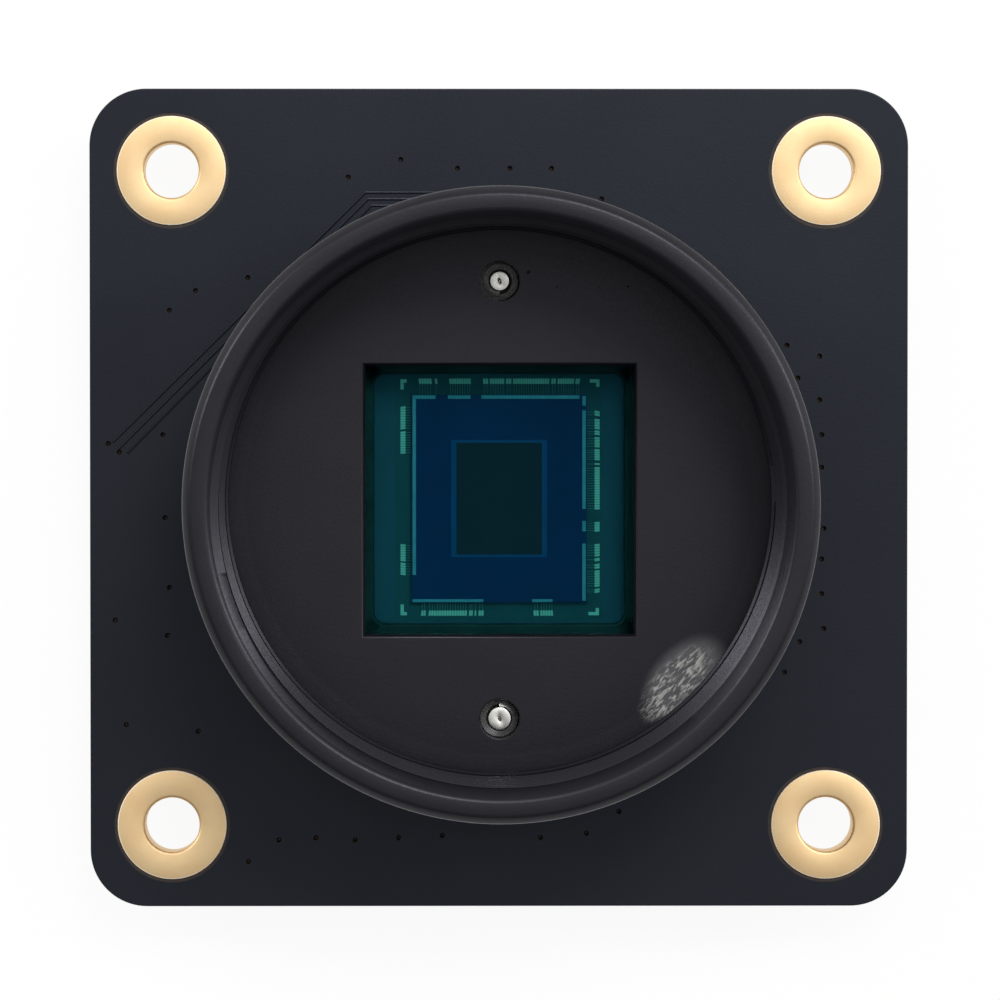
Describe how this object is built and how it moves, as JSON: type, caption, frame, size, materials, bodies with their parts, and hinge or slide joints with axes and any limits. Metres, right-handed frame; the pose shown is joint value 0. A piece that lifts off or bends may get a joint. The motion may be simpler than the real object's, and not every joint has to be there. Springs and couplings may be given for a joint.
{
  "type": "camera module",
  "caption": "Bare board camera: a square circuit board with an image sensor, a round threaded lens mount over it and a flat-cable socket with a slide latch on the rear.",
  "frame": {"origin": "centre of the four mounting holes, on the rear face of the circuit board", "axes": "+Z along the optical axis towards the lens side, +X to the right and +Y up when the lens side faces the viewer, so the cable socket's mouth faces -Y"},
  "size_m": [0.0376, 0.0376, 0.0175],
  "materials": {
    "board_laminate": "satin black solder mask over glass laminate",
    "gilded_copper": "thin gold over nickel on copper, fine grain",
    "black_plastic": "fine eroded mould texture",
    "screw_steel": "bright zinc plated",
    "filter_glass": "polished, with an infrared-cut coating",
    "cover_glass": "polished",
    "package_resin": "solder mask and resin",
    "silicon": "polished silicon",
    "socket_plastic": "natural heat-resistant plastic",
    "latch_plastic": "black heat-resistant plastic",
    "contact_bronze": "gilded phosphor bronze",
    "tinned_metal": "matt tin",
    "chip_resin": "moulded epoxy",
    "chip_ceramic": "fired ceramic",
    "lid_metal": "gilded nickel alloy",
    "ferrite": "fired ferrite",
    "resistor_glaze": "black glaze"
  },
  "bodies": {
    "module": {"circuit_board": "board_laminate", "plated_hole_1": "gilded_copper", "plated_hole_2": "gilded_copper", "plated_hole_3": "gilded_copper", "plated_hole_4": "gilded_copper", "lens_mount": "black_plastic", "mount_screws": "screw_steel", "ir_cut_filter": "filter_glass", "sensor_base": "package_resin", "sensor_dam": "package_resin", "sensor_die": "silicon", "pixel_array": "silicon", "sensor_cover_glass": "cover_glass", "socket_housing": "socket_plastic", "socket_contacts": "contact_bronze", "socket_tab_1": "tinned_metal", "socket_tab_2": "tinned_metal", "regulator_1": "chip_resin", "regulator_2": "chip_resin", "regulator_3": "chip_resin", "regulator_leads": "tinned_metal", "memory_chip": "chip_resin", "memory_leads": "tinned_metal", "oscillator_base": "chip_ceramic", "oscillator_lid": "lid_metal", "capacitor_1": "chip_ceramic", "capacitor_2": "chip_ceramic", "capacitor_3": "chip_ceramic", "capacitor_4": "chip_ceramic", "capacitor_5": "chip_ceramic", "capacitor_6": "chip_ceramic", "capacitor_7": "chip_ceramic", "capacitor_8": "chip_ceramic", "capacitor_terminals": "tinned_metal", "ferrite_bead_1": "ferrite", "ferrite_bead_2": "ferrite", "bead_terminals": "tinned_metal", "resistor_1": "resistor_glaze", "resistor_2": "resistor_glaze", "resistor_3": "resistor_glaze", "resistor_4": "resistor_glaze", "resistor_5": "resistor_glaze", "resistor_6": "resistor_glaze", "resistor_terminals": "tinned_metal"},
    "latch": {"socket_latch": "latch_plastic"}
  },
  "joints": [
    {"name": "latch_slide", "type": "slide", "parent": "module", "child": "latch", "axis": [0, -1, 0], "range_m": [0, 0.0012]}
  ]
}
